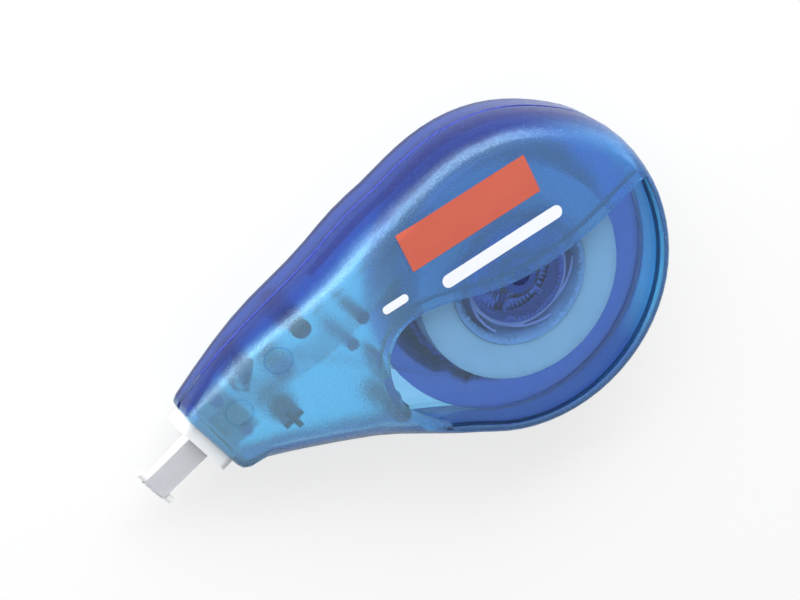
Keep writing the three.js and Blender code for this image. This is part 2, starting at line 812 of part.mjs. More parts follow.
// Tape runs: a flat ribbon swept along a route, its width turning from upright to level
function ribbon(stations) {
  const rings = stations.map(({ at, along, wide }) => {
    const width = wide.clone().addScaledVector(along, -wide.dot(along)).normalize();
    const thick = new THREE.Vector3().crossVectors(along, width);
    return [[-1, -1], [1, -1], [1, 1], [-1, 1]].map(([side, face]) => (
      at.clone()
        .addScaledVector(width, (side * tapeWidth) / 2)
        .addScaledVector(thick, (face * tapeThickness) / 2)
    ));
  });
  const positions = rings.flat().flatMap((point) => [point.x, point.y, point.z]);
  const indices = [];
  for (let level = 0; level < rings.length - 1; level += 1) {
    for (let side = 0; side < 4; side += 1) {
      const a = level * 4 + side;
      const b = level * 4 + ((side + 1) % 4);
      const [onwardA, onwardB] = [a + 4, b + 4];
      // Both faces are folded along the same diagonal, so that a twist keeps the tape's thickness
      if (side < 2) {
        indices.push(a, b, onwardB, a, onwardB, onwardA);
      } else {
        indices.push(a, b, onwardA, b, onwardB, onwardA);
      }
    }
  }
  const last = (rings.length - 1) * 4;
  indices.push(0, 2, 1, 0, 3, 2, last, last + 1, last + 2, last, last + 2, last + 3);
  const geometry = new THREE.BufferGeometry();
  geometry.setAttribute('position', new THREE.Float32BufferAttribute(positions, 3));
  geometry.setIndex(indices);
  return solid(geometry);
}

function tipPlace(out, rise) {
  const plan = fromNose(-out, 0);
  return new THREE.Vector3(plan.x, plan.y, tipHeight + rise);
}

// The touching line between two circles that lie on opposite sides of the tape
function crossedTangent(centreA, radiusA, centreB, radiusB, side) {
  const apart = centreB.clone().sub(centreA);
  const lean = side * Math.acos((radiusA + radiusB) / apart.length());
  const normal = apart.clone().normalize().rotateAround(new THREE.Vector2(), lean);
  return {
    leaves: centreA.clone().addScaledVector(normal, radiusA),
    arrives: centreB.clone().addScaledVector(normal, -radiusB),
  };
}

const tapeStandoff = tapeLift + tapeThickness / 2;
const upright = new THREE.Vector3(0, 0, 1);
const level = new THREE.Vector3(tipAcross.x, tipAcross.y, 0);

// Stations from inside the nose, along one face of the blade and half round its edge
function bladeStations(face) {
  const straights = [-stemLength, -collarIn, 0, bladeLength / 2, edgeBarStart, edgeBarCentre];
  const places = straights.map((out) => (
    tipPlace(out, face * (bladeHalfThickness(out) + tapeStandoff))
  ));
  const reach = edgeBarRound + tapeStandoff;
  for (let step = 1; step <= edgeWrapSteps; step += 1) {
    const angle = (Math.PI / 2) * (1 - (step / edgeWrapSteps) * edgeWrap);
    places.push(tipPlace(edgeBarCentre + reach * Math.cos(angle), face * reach * Math.sin(angle)));
  }
  return places;
}

function stationsAlong(places, widths) {
  return places.map((at, index) => {
    const before = places[Math.max(index - 1, 0)];
    const after = places[Math.min(index + 1, places.length - 1)];
    return { at, along: after.clone().sub(before).normalize(), wide: widths[index] };
  });
}

function tapeRun(straight, guidePlaces, face) {
  const blade = bladeStations(face);
  const root = blade[0];
  const guide = guidePlaces[guidePlaces.length - 1];
  const before = guidePlaces[guidePlaces.length - 2];
  const guideAlong = guide.clone().sub(before).normalize();
  const span = guide.distanceTo(root);
  const rootAlong = new THREE.Vector3(tipAxis.x, tipAxis.y, 0);
  const twist = new THREE.CubicBezierCurve3(
    guide,
    guide.clone().addScaledVector(guideAlong, span * twistHandle),
    root.clone().addScaledVector(rootAlong, -span * twistHandle),
    root,
  );
  const places = [...straight, ...guidePlaces];
  const widths = places.map(() => upright);
  for (let step = 1; step < twistSteps; step += 1) {
    const share = step / twistSteps;
    places.push(twist.getPoint(share));
    const turn = smoothstep(share, 0, 1) * (Math.PI / 2);
    widths.push(
      upright.clone().multiplyScalar(Math.cos(turn)).addScaledVector(level, face * Math.sin(turn)),
    );
  }
  places.push(...blade);
  blade.forEach(() => widths.push(level.clone().multiplyScalar(face)));
  return ribbon(stationsAlong(places, widths));
}

function aroundPost(centre, radius, from, to, height, steps) {
  const start = from.clone().sub(centre).angle();
  let sweep = to.clone().sub(centre).angle() - start;
  sweep = THREE.MathUtils.euclideanModulo(sweep + Math.PI, 2 * Math.PI) - Math.PI;
  const places = [];
  for (let step = 0; step <= steps; step += 1) {
    const angle = start + (sweep * step) / steps;
    places.push(new THREE.Vector3(
      centre.x + radius * Math.cos(angle),
      centre.y + radius * Math.sin(angle),
      height,
    ));
  }
  return places;
}

function tapeFeedRun() {
  const axle = new THREE.Vector2(0, 0);
  const guide = new THREE.Vector2(...feedPost);
  const rollReach = supplyTapeRadius + fitGap + tapeStandoff;
  const guideReach = feedPostRadius + fitGap + tapeStandoff;
  const line = crossedTangent(axle, rollReach, guide, guideReach, -1);
  const root = fromNose(stemLength, 0);
  const onward = root.clone().sub(guide).normalize();
  const leaves = guide.clone().addScaledVector(leftOf(onward), guideReach);
  const start = new THREE.Vector3(line.leaves.x, line.leaves.y, feedHeight);
  const wrap = aroundPost(guide, guideReach, line.arrives, leaves, feedHeight, 3);
  return tapeRun([start], wrap, 1);
}

function tapeReturnRun() {
  const axle = new THREE.Vector2(0, 0);
  const drumReach = takeUpTapeRadius + fitGap + tapeStandoff;
  const guideReach = returnPostRadius + tapeStandoff;
  const line = crossedTangent(axle, drumReach, returnPost, guideReach, 1);
  const leaves = returnPost.clone().addScaledVector(tipAcross, -guideReach);
  const start = new THREE.Vector3(line.leaves.x, line.leaves.y, returnHeight);
  const wrap = aroundPost(returnPost, guideReach, line.arrives, leaves, returnHeight, 5);
  return tapeRun([start], wrap, -1);
}

// Materials and the scene graph
const blueCase = { color: 0x5a86c8, roughness: 0.35, metalness: 0, transparent: true, opacity: 0.45 };
const blueReel = { color: 0x4a6cc0, roughness: 0.3, metalness: 0, transparent: true, opacity: 0.7 };
const paleCore = { color: 0x9fb2d8, roughness: 0.4, metalness: 0 };
const clutchLilac = { color: 0x8c84b8, roughness: 0.45, metalness: 0 };
const whiteTip = { color: 0xf3f4f4, roughness: 0.4, metalness: 0 };
const whiteTape = { color: 0xf7f7f5, roughness: 0.7, metalness: 0 };
const carrier = { color: 0xdfe3e8, roughness: 0.5, metalness: 0 };

const correctionTape = new THREE.Group();

function addPiece(name, manifold, finish) {
  const mesh = new THREE.Mesh(geometryOf(manifold), new THREE.MeshStandardMaterial(finish));
  mesh.name = name;
  correctionTape.add(mesh);
  return mesh;
}

addPiece('back_shell', backShell(), blueCase);
addPiece('front_shell', frontShell(), blueCase);
addPiece('take_up_reel', takeUpReel(), blueReel);
addPiece('take_up_tape_roll', takeUpTapeRoll(), carrier);
addPiece('supply_reel', supplyReel(), paleCore);
addPiece('supply_tape_roll', supplyTapeRoll(), whiteTape);
addPiece('slip_clutch_ring', slipClutchRing(), clutchLilac);
addPiece('tape_feed_run', tapeFeedRun(), whiteTape);
addPiece('tape_return_run', tapeReturnRun(), carrier);

const tip = addPiece('applicator_tip', applicatorTip(), whiteTip);
tip.rotation.z = tipTurn;
tip.position.set(noseMiddle.x, noseMiddle.y, tipHeight);

export default correctionTape;
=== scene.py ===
import math

import bpy
from mathutils import Matrix, Vector
from mathutils.kdtree import KDTree


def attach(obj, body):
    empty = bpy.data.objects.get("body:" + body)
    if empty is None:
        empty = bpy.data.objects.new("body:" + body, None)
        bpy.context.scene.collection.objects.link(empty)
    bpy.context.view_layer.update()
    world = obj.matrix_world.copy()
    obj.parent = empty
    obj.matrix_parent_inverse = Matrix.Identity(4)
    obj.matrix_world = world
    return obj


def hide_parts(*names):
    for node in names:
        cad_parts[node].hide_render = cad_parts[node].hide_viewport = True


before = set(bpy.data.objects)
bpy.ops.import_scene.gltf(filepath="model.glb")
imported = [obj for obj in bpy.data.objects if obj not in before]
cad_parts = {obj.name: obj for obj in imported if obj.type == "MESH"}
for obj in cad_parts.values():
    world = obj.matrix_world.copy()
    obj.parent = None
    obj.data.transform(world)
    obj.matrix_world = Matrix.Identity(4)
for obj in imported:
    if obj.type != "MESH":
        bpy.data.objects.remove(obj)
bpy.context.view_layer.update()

bl_info = {
    "name": "Correction tape",
    "version": (1, 0, 0),
    "blender": (4, 5, 0),
    "location": "3D View > Sidebar > Correction tape",
    "description": "Case, reels, tape, tip, print and stage of a correction tape",
    "category": "Object",
}

# Lengths are in millimetres and angles in degrees, where nothing else is said
MM = 0.001
WHITE = (1.0, 1.0, 1.0, 1.0)

# Slots of the case's four finishes: the frosted one holds painted light and shade, the posts'
# one painted shade, and the fine one painted light
FROSTED, POLISHED, POSTS, FINE_PAINTED_PALE = range(4)

# Which way the outside of each half faces along Z
FRONT = 1
BACK = -1

# Heights of the two flat faces of the sunk window, how closely a face lies on one of them, and
# how far left the window reaches
WINDOW_OUTSIDE = 13.5
WINDOW_INSIDE = 12.4
WINDOW_MATCH = 0.01
WINDOW_LEFT = -25.6

# How far the small wall round the window reaches from it
STEP_REACH = 1.6

# Height of the seam between the halves, how far its ledges lie above and below it, and how
# far up the photograph its upper part starts
SEAM_HEIGHT = 6.8
SEAM_REACH = 1.7
UPPER_SEAM = 6

# Half the height of the painted shade: a dark line along the wall where the halves overlap
PAINTED_SEAM_SHADE = 0.5

# Plastic deeper than this under a level face belongs to a post
POST_DEPTH = 2.6

# Shares of a face's normal along Z: a flat face of the window has more than the first, the wall
# round the window has less than the second, and an upright wall has less than the third
FLAT_SHARE = 0.9999
STEP_SHARE = 0.97
UPRIGHT_SHARE = 0.4

# A face looks into the case when its normal has more than this share inwards
INWARD_SHARE = 0.1

# The back half is finely eroded, and painted paler with painted light, where its normal has less
# than this share up the photograph
UPWARD_SHARE = 0.2

# Rays start this far from a face, so that they don't meet the face itself
RAY_START = 0.01

# Painted light: the skin turns to the paler colour of the nose between these distances left of the axle
NOSE_WAY = (-1, 0, 0)
NOSE_PAINTED_LIGHT = (14, 30)

# The ways that the lower and the upper wall face, and the shares of the normal along them
# between which the skin turns to the colour of the wall: painted light on the lower, painted shade on
# the upper
LIT_WALL_WAY = (0.6, -1, 0)
LOWER_WALL_LIGHT = (0.2, 0.6)
SHADED_WALL_WAY = (0, 1, 0)
UPPER_WALL_SHADE = (0.5, 0.86)

# Two places where the photograph's outline is fuller than the solid's: the place, the way the
# wall faces there, how much is added, and how far that reaches
FULLER_PLACES = (
    ((-21.0, 20.8), (-0.45, 0.89), 1.55, 8),
    ((22.5, 14.0), (0.75, 0.66), 1.3, 8.5),
)

# Where the ejector pins of the mould left their rings on the front, and the rings' radius and
# half the width of their line
EJECTOR_MARKS = ((-40.4, 6.2), (-48.6, 0.7))
EJECTOR_RADIUS = 2.1
EJECTOR_LINE = 0.12

# Refraction of polystyrene, of the other plastics and the ink, and of wound film with its coating
POLYSTYRENE_IOR = 1.58
PLAIN_IOR = 1.5
WOUND_IOR = 1.48

# Widths of the flow marks in clear plastic and of the mottle in the others
FLOW_MARK = 9
MOTTLE = 6

# Most of a noise texture's values lie between these
NOISE_LOW = 0.3
NOISE_HIGH = 0.7

# Wound film is drawn with rings this far apart. Real turns are 0.045 mm apart, too fine to show
RING_PITCH = 0.4

# Blender's ring pattern runs this many times faster than its scale
RING_SPEED = 20

# Sockets of the Mix node when it mixes colours
MIX_FIRST = 6
MIX_SECOND = 7
MIX_RESULT = 2

# Corners nearer than this are merged, and faces that bend less than this angle are joined
MERGE_DISTANCE = 0.0005
FLAT_ANGLE = 0.5

# Edges that bend more than this look sharp, on the case and on the other pieces
CASE_EDGE = 40
PIECE_EDGE = 32

# How far round a corner of the case the normals are averaged, and the small share of a face's
# own normal that keeps each sum from being nought
NORMAL_REACH = 1.2
NORMAL_START = 1e-6

# Rounding of the tip's edges, and how much an edge bends that is rounded
TIP_ROUNDING = 0.2
TIP_EDGE = 40

# The printed films: name, ink, centre, length, width and corner radius
PRINTS = (
    ("printed_panel", "panel", (-5.4, 14.7), 23.4, 6.6, 0.15),
    ("printed_bar", "bar", (-2.0, 7.2), 22.0, 2.2, 1.05),
    ("printed_short_bar", "bar", (-21.0, 6.7), 4.5, 1.4, 0.65),
)

# How far the print leans, the height at which a film is made before it drops on the skin, the
# distance between its cuts, and how far over the skin it stays
PRINT_TURN = 6.3
PRINT_HEIGHT = 20
PRINT_CUT = 0.45
PRINT_GAP = 0.03

# The floor: its size in metres, how far it lies under the case, and how much of it shows plain
# white to the camera, so that the rest of the shadow is kept
FLOOR_SIZE = 6
FLOOR_DROP = 0.05
FLOOR_WHITE = 0.7

# The softbox: what it is aimed at, which way it hangs from there, and its distance, length and
# width in metres
SOFTBOX_TARGET = (-15, 0, 7)
SOFTBOX_WAY = (0.0, 0.88, 0.47)
SOFTBOX_DISTANCE = 0.5
SOFTBOX_LENGTH = 1.0
SOFTBOX_WIDTH = 0.28

# The camera stands where the photograph was taken from, and sees nothing nearer than the last
# distance, which is in metres
CAMERA_PLACE = (-98.8, 155.1, 299.6)
CAMERA_RIGHT = (0.8650, -0.3053, 0.3982)
CAMERA_UP = (0.4416, 0.8400, -0.3152)
CAMERA_FORWARD = (0.2383, -0.4485, -0.8614)
CAMERA_LENS = 99
SENSOR_WIDTH = 36
CAMERA_NEAREST = 0.01


def linear_colour(text):
    """Turns an sRGB hex colour into the linear colour that a shader takes, by sRGB's own curve."""
    values = []
    for start in (1, 3, 5):
        share = int(text[start:start + 2], 16) / 255
        if share <= 0.04045:
            values.append(share / 12.92)
        else:
            values.append(((share + 0.055) / 1.055) ** 2.4)
    return (*values, 1.0)


def add_node(tree, kind, settings=None, links=None):
    """Adds a node, sets its values and sockets, and links sockets to it."""
    node = tree.nodes.new(kind)
    for name, value in (settings or {}).items():
        if isinstance(name, str) and hasattr(node, name):
            setattr(node, name, value)
        else:
            node.inputs[name].default_value = value
    for name, socket in (links or {}).items():
        tree.links.new(socket, node.inputs[name])
    return node


def empty_material(name):
    """A material with nothing but its output, and its node tree."""
    material = bpy.data.materials.new(name)
    material.use_nodes = True
    tree = material.node_tree
    tree.nodes.clear()
    output = add_node(tree, "ShaderNodeOutputMaterial")
    return material, tree, output


def grain(tree, size):
    """Noise on the piece's own coordinates with a grain of the given size."""
    place = add_node(tree, "ShaderNodeTexCoord")
    return add_node(
        tree,
        "ShaderNodeTexNoise",
        {"Scale": 1 / (size * MM), "Detail": 2.0, "Roughness": 0.55},
        {"Vector": place.outputs["Object"]},
    ).outputs["Fac"]


def grained_surface(tree, size, roughness, strength, relief):
    """A grain that changes the roughness between two limits and raises the surface."""
    texture = grain(tree, size)
    low, high = roughness
    sheen = add_node(
        tree,
        "ShaderNodeMapRange",
        {"From Min": NOISE_LOW, "From Max": NOISE_HIGH, "To Min": low, "To Max": high},
        {"Value": texture},
    )
    bump = add_node(
        tree,
        "ShaderNodeBump",
        {"Strength": strength, "Distance": relief * MM},
        {"Height": texture},
    )
    return sheen.outputs["Result"], bump.outputs["Normal"]


def blend_colours(tree, first, second, factor):
    """Mixes a colour, given as such or by a node, with another by a pattern."""
    mix = add_node(
        tree, "ShaderNodeMix", {"data_type": "RGBA", MIX_SECOND: second}, {0: factor})
    if isinstance(first, bpy.types.NodeSocket):
        tree.links.new(first, mix.inputs[MIX_FIRST])
    else:
        mix.inputs[MIX_FIRST].default_value = first
    return mix.outputs[MIX_RESULT]


def ramp(tree, source, direction, start, end):
    """Rises softly from nought to one as the piece's place or normal goes along a direction."""
    place = add_node(tree, "ShaderNodeTexCoord")
    along = add_node(
        tree,
        "ShaderNodeVectorMath",
        {"operation": "DOT_PRODUCT", 1: direction},
        {0: place.outputs[source]},
    )
    return add_node(
        tree,
        "ShaderNodeMapRange",
        {"interpolation_type": "SMOOTHSTEP", "From Min": start, "From Max": end},
        {"Value": along.outputs["Value"]},
    ).outputs["Result"]


def flat_place(tree):
    """The piece's own coordinates without their height."""
    place = add_node(tree, "ShaderNodeTexCoord")
    flat = add_node(
        tree, "ShaderNodeMapping", {"Scale": (1, 1, 0)}, {"Vector": place.outputs["Object"]})
    return flat.outputs["Vector"]


def streaked(first, second):
    """Paints two close colours in slow marks, as the flow of the melt leaves them."""
    def paint(tree):
        return blend_colours(tree, first, second, grain(tree, FLOW_MARK))
    return paint


def ring_line(tree, centre):
    """One along a thin ring, where the edge of an ejector pin marks the skin, else nought."""
    away = add_node(
        tree,
        "ShaderNodeVectorMath",
        {"operation": "DISTANCE", 1: (centre[0] * MM, centre[1] * MM, 0)},
        {0: flat_place(tree)},
    )
    ring = add_node(
        tree,
        "ShaderNodeMath",
        {"operation": "COMPARE", 1: EJECTOR_RADIUS * MM, 2: EJECTOR_LINE * MM},
        {0: away.outputs["Value"]},
    )
    return ring.outputs["Value"]


def seam_shade_line(tree):
    """One within a short height of the seam, where painted shade draws a dark line over the overlap,
    and nought elsewhere.
    """
    place = add_node(tree, "ShaderNodeTexCoord")
    parts = add_node(tree, "ShaderNodeSeparateXYZ", {}, {0: place.outputs["Object"]})
    line = add_node(
        tree,
        "ShaderNodeMath",
        {"operation": "COMPARE", 1: SEAM_HEIGHT * MM, 2: PAINTED_SEAM_SHADE * MM},
        {0: parts.outputs["Z"]},
    )
    return line.outputs["Value"]


def skin_light_shade_and_marks(looks):
    """Paints light and shade into the skin: painted light makes the nose and the lower wall pale,
    painted shade makes the upper wall deep and the parting line dark. It also paints the mould's marks.
    """
    def paint(tree):
        # Painted light: paler towards the nose
        nose_light = ramp(tree, "Object", NOSE_WAY, NOSE_PAINTED_LIGHT[0] * MM, NOSE_PAINTED_LIGHT[1] * MM)
        body = blend_colours(tree, looks.skin, looks.nose, nose_light)
        # Painted light on the lower wall and painted shade on the upper wall, by the way each faces
        lower_wall_light = ramp(tree, "Normal", LIT_WALL_WAY, *LOWER_WALL_LIGHT)
        paler = blend_colours(tree, body, looks.lower_wall_light, lower_wall_light)
        upper_wall_shade = ramp(tree, "Normal", SHADED_WALL_WAY, *UPPER_WALL_SHADE)
        colour = blend_colours(tree, paler, looks.wall, upper_wall_shade)
        for centre in EJECTOR_MARKS:
            colour = blend_colours(tree, colour, looks.mark, ring_line(tree, centre))
        # Painted shade: a dark line along the seam
        return blend_colours(tree, colour, looks.seam, seam_shade_line(tree))
    return paint


def clear_plastic(name, paint, depth, density, passed, roughness, grain_size, relief,
                  glint=WHITE, glint_level=0.5):
    """Clear plastic that swallows light in its depth."""
    material, tree, output = empty_material(name)
    sheen, normal = grained_surface(tree, grain_size, roughness, strength=1.0, relief=relief)
    shader = add_node(
        tree,
        "ShaderNodeBsdfPrincipled",
        {
            "IOR": POLYSTYRENE_IOR,
            "Transmission Weight": passed,
            "Specular Tint": glint,
            "Specular IOR Level": glint_level,
        },
        {"Base Color": paint(tree), "Roughness": sheen, "Normal": normal},
    )
    swallowed = add_node(
        tree, "ShaderNodeVolumeAbsorption", {"Color": depth, "Density": density})
    tree.links.new(shader.outputs["BSDF"], output.inputs["Surface"])
    tree.links.new(swallowed.outputs["Volume"], output.inputs["Volume"])
    return material


def plain_plastic(name, colour, shade, roughness, grain_size, relief, glow=0.0, passed=0.0):
    """Plastic, film or ink: two close colours in a soft mottle, and a fine surface relief."""
    # The relief of a real one is a few hundredths of a millimetre wide, too fine to show, so
    # it is drawn 0.4 to 0.8 mm wide
    material, tree, output = empty_material(name)
    sheen, normal = grained_surface(tree, grain_size, roughness, strength=0.4, relief=relief)
    shader = add_node(
        tree,
        "ShaderNodeBsdfPrincipled",
        {
            "IOR": PLAIN_IOR,
            "Transmission Weight": passed,
            "Subsurface Weight": glow,
            "Subsurface Radius": (1.0, 1.0, 1.0),
            "Subsurface Scale": 0.6 * MM,
        },
        {
            "Base Color": blend_colours(tree, colour, shade, grain(tree, MOTTLE)),
            "Roughness": sheen,
            "Normal": normal,
        },
    )
    tree.links.new(shader.outputs["BSDF"], output.inputs["Surface"])
    return material


def wound_film(name, colour, shade):
    """Wound film seen from its side: fine rings round the axle, with slightly uneven turns."""
    material, tree, output = empty_material(name)
    rings = add_node(
        tree,
        "ShaderNodeTexWave",
        {
            "wave_type": "RINGS",
            "rings_direction": "SPHERICAL",
            "Scale": 2 * math.pi / (RING_PITCH * MM * RING_SPEED),
            "Distortion": 0.4,
            "Detail": 1.0,
        },
        {"Vector": flat_place(tree)},
    )
    bump = add_node(
        tree,
        "ShaderNodeBump",
        {"Strength": 0.3, "Distance": 0.01 * MM},
        {"Height": rings.outputs["Fac"]},
    )
    shader = add_node(
        tree,
        "ShaderNodeBsdfPrincipled",
        {
            "Roughness": 0.6,
            "IOR": WOUND_IOR,
            "Subsurface Weight": 0.7,
            "Subsurface Radius": (1.0, 1.0, 1.0),
            "Subsurface Scale": 3 * MM,
        },
        {
            "Base Color": blend_colours(tree, colour, shade, rings.outputs["Fac"]),
            "Normal": bump.outputs["Normal"],
        },
    )
    tree.links.new(shader.outputs["BSDF"], output.inputs["Surface"])
    return material


def spark_eroded_case(looks):
    """The outer skin of the case."""
    # Clear polystyrene from a spark eroded mould: it scatters the light, with fine sparkle. Its
    # real grain is a few hundredths of a millimetre wide, too fine to show, and is drawn coarser
    # Its colour holds painted light on the nose and the lower wall, and painted shade on the upper wall
    # and the parting line
    return clear_plastic(
        "Blue clear polystyrene, spark eroded", skin_light_shade_and_marks(looks), looks.depth, looks.density,
        passed=0.78, roughness=(0.16, 0.28), grain_size=looks.frost_grain / MM, relief=0.06,
        glint=linear_colour("#C4E0FF"), glint_level=0.6)


def finely_eroded_painted_pale_case(looks):
    """The back and the inner walls of the case."""
    # The same plastic, more finely eroded: clearer, because more light comes through, and paler by
    # painted light in its colour. Its grain is drawn coarser as well
    return clear_plastic(
        "Blue clear polystyrene, finely eroded", streaked(looks.nose, looks.lower_wall_light),
        looks.depth, looks.density, passed=0.9, roughness=(0.12, 0.2),
        grain_size=looks.frost_grain / MM, relief=0.03)


def polished_case(looks):
    """The window, and the level faces inside the case."""
    # The same plastic from a polished mould: glossy, and it shows what lies under it sharply
    return clear_plastic(
        "Blue clear polystyrene, polished", streaked(looks.window, looks.streak), looks.depth,
        looks.density, passed=1.0, roughness=(0.02, 0.06), grain_size=3.0, relief=0.002)


def posts_painted_deep(looks):
    """The posts and ribs inside the case."""
    # The same plastic in thick pieces: light runs along them, so they look deep blue, and that deep
    # blue is painted into their colour as painted shade
    return clear_plastic(
        "Blue clear polystyrene, thick posts", streaked(looks.post, looks.post_streak),
        looks.depth, looks.density, passed=0.45, roughness=(0.2, 0.3), grain_size=3.0,
        relief=0.002, glint=linear_colour("#9CB0FF"), glint_level=0.3)


def smooth_reel():
    """The take-up reel."""
    # Clear polystyrene with a smooth moulded face: a deeper, softer blue than the case
    return clear_plastic(
        "Blue clear polystyrene, smooth moulded",
        streaked(linear_colour("#7E86CC"), linear_colour("#868ED4")),
        depth=linear_colour("#9C96E0"), density=200, passed=0.97, roughness=(0.15, 0.25),
        grain_size=2.0, relief=0.005)


def pale_core():
    """The supply core."""
    # Polypropylene: waxy, slightly milky, with a soft sheen
    return plain_plastic(
        "Pale polypropylene, moulded", linear_colour("#C4D2EE"), linear_colour("#B4C4E6"),
        roughness=(0.35, 0.5), grain_size=0.5, relief=0.01, glow=0.3)


def lilac_clutch():
    """The slip clutch."""
    # Acetal: dense and even, with a dull sheen
    return plain_plastic(
        "Lilac acetal, moulded", linear_colour("#C4BAE6"), linear_colour("#B8AEDE"),
        roughness=(0.35, 0.5), grain_size=0.5, relief=0.01)


def white_tip():
    """The applicator tip."""
    # ABS: opaque white with a soft even sheen
    return plain_plastic(
        "White ABS, moulded", linear_colour("#F4F5F6"), linear_colour("#EEF0F2"),
        roughness=(0.3, 0.42), grain_size=0.6, relief=0.008, glow=0.2)


def wound_tape():
    """The fresh tape on its core."""
    # Edges of many turns: matt white with faint rings, lit from inside as light soaks into them
    return wound_film(
        "White coated film, wound", linear_colour("#FBFBF9"), linear_colour("#F3F5F6"))


def wound_carrier():
    """The used carrier on its drum."""
    # Edges of bare film: matt, with faint rings, and bluer than the coated film
    return wound_film(
        "Bare carrier film, wound", linear_colour("#E0E8FA"), linear_colour("#D6E0F4"))


def thin_film(name, colour, shade, passed):
    """One layer of smooth film."""
    return plain_plastic(
        name, linear_colour(colour), linear_colour(shade), roughness=(0.08, 0.14),
        grain_size=0.8, relief=0.002, passed=passed)


def tape_layer():
    """The run of fresh tape."""
    # Coated film: white and glossy, and one layer lets much of the light through
    return thin_film("White coated film", "#F9F9FB", "#F1F3F8", passed=0.85)


def carrier_layer():
    """The run of used carrier."""
    # Bare film: almost clear and glossy
    return thin_film("Bare carrier film", "#F4F7FC", "#ECF1F8", passed=0.95)


def printing_ink(name, colour, shade):
    """The ink of the panel and the bars."""
    # Pad printed ink: an even, slightly glossy film
    return plain_plastic(
        name, colour, shade, roughness=(0.3, 0.4), grain_size=0.4, relief=0.003)


def select_only(obj):
    """Leaves one object selected and active."""
    bpy.ops.object.select_all(action="DESELECT")
    obj.select_set(True)
    bpy.context.view_layer.objects.active = obj


def copy_of_node(node, name):
    """A merged copy of a solid, to be finished as its own piece, with slivers taken out."""
    obj = bpy.data.objects.new(name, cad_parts[node].data.copy())
    bpy.context.scene.collection.objects.link(obj)
    obj.data.materials.clear()
    select_only(obj)
    bpy.ops.object.mode_set(mode="EDIT")
    bpy.ops.mesh.select_all(action="SELECT")
    bpy.ops.mesh.remove_doubles(threshold=MERGE_DISTANCE * MM)
    bpy.ops.mesh.select_all(action="SELECT")
    bpy.ops.mesh.dissolve_limited(angle_limit=math.radians(FLAT_ANGLE))
    bpy.ops.mesh.select_all(action="SELECT")
    bpy.ops.mesh.quads_convert_to_tris(quad_method="BEAUTY", ngon_method="BEAUTY")
    bpy.ops.object.mode_set(mode="OBJECT")
    return obj


def soften_edges(obj, width, angle):
    """Rounds the sharp edges of a piece."""
    bevel = obj.modifiers.new("edge rounding", "BEVEL")
    bevel.width = width * MM
    bevel.segments = 2
    bevel.limit_method = "ANGLE"
    bevel.angle_limit = math.radians(angle)
    bevel.use_clamp_overlap = True
    select_only(obj)
    bpy.ops.object.modifier_apply(modifier=bevel.name)


def shade_smooth(obj, angle):
    """Smooth shading that keeps edges sharper than the angle, and keeps flat faces flat."""
    select_only(obj)
    bpy.ops.object.shade_smooth_by_angle(angle=math.radians(angle))
    weigh = obj.modifiers.new("flat faces lead", "WEIGHTED_NORMAL")
    weigh.mode = "FACE_AREA"
    weigh.weight = 100
    weigh.keep_sharp = True
    bpy.ops.object.modifier_apply(modifier=weigh.name)


def even_normals(obj, reach, angle):
    """Averages the normals over a short reach, so that a cut leaves no dimples in a curved face."""
    faces = obj.data.polygons
    finder = KDTree(len(faces))
    touching = [set() for _ in obj.data.vertices]
    for face in faces:
        finder.insert(face.center, face.index)
        for corner in face.vertices:
            touching[corner].add(face.index)
    finder.balance()
    least = math.cos(math.radians(angle))
    normals = []
    for face in faces:
        for corner in face.vertices:
            place = obj.data.vertices[corner].co
            shares = dict.fromkeys(touching[corner], 1.0)
            for _, index, distance in finder.find_range(place, reach * MM):
                shares.setdefault(index, 1 - distance / (reach * MM))
            total = face.normal * NORMAL_START
            for index, share in shares.items():
                alike = faces[index].normal.dot(face.normal) - least
                if alike > 0:
                    total += faces[index].normal * (faces[index].area / MM ** 2 * share * alike)
            normals.append(total.normalized())
    obj.data.normals_split_custom_set(normals)


def stand_for(obj, node, body):
    """Lets a finished piece move with its body in the place of its solid."""
    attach(obj, body)
    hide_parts(node)


def smooth_piece(node, name, material, body):
    """A smoothly shaded copy of a solid in one material, in the place of the solid."""
    piece = copy_of_node(node, name)
    piece.data.materials.append(material)
    shade_smooth(piece, PIECE_EDGE)
    stand_for(piece, node, body)


def colour_property(name, description, default):
    """A colour that a user may change, given as sRGB hex."""
    return bpy.props.FloatVectorProperty(
        name=name, description=description, subtype="COLOR", size=4, min=0, max=1,
        default=linear_colour(default))


def length_property(name, description, millimetres):
    """A length that a user may change, given in millimetres."""
    return bpy.props.FloatProperty(
        name=name, description=description, subtype="DISTANCE", unit="LENGTH", precision=5,
        default=millimetres * MM)


class CaseLooks(bpy.types.PropertyGroup):
    """Plastic of the case"""

    skin: colour_property("Round end", "Colour of light through the skin over the reels", "#84BCFF")
    # Painted light: the nose is painted paler than the round end
    nose: colour_property("Nose", "Colour of light through the skin at the nose", "#AEE4FF")
    # Painted shade: the upper wall is painted deep
    wall: colour_property("Upper wall", "Colour of light along the upper wall", "#1C2A98")
    # Painted light: the lower wall is painted pale
    lower_wall_light: colour_property("Lower wall", "Colour of light along the lower wall", "#CDF6FF")
    # Painted shade: the dark parting line
    seam: colour_property("Parting line", "Colour of light where the halves overlap", "#0C1480")
    mark: colour_property("Ejector rings", "Colour of light along the ejector rings", "#84C4F0")
    window: colour_property("Window", "Colour of light through the polished faces", "#C4E2FF")
    streak: colour_property("Flow marks", "Second colour in the polished faces", "#CCE8FF")
    # Painted shade: the posts are painted deep
    post: colour_property("Posts", "Colour of light along the posts inside", "#1C2896")
    post_streak: colour_property("Post marks", "Second colour in the posts", "#222EA0")
    depth: colour_property("Depth colour", "Colour left by the depth", "#6AECFC")
    density: bpy.props.FloatProperty(
        name="Depth density", description="How fast the depth swallows light, per metre", default=110)
    frost_grain: length_property("Frost grain", "Grain of the eroded surface", 0.25)


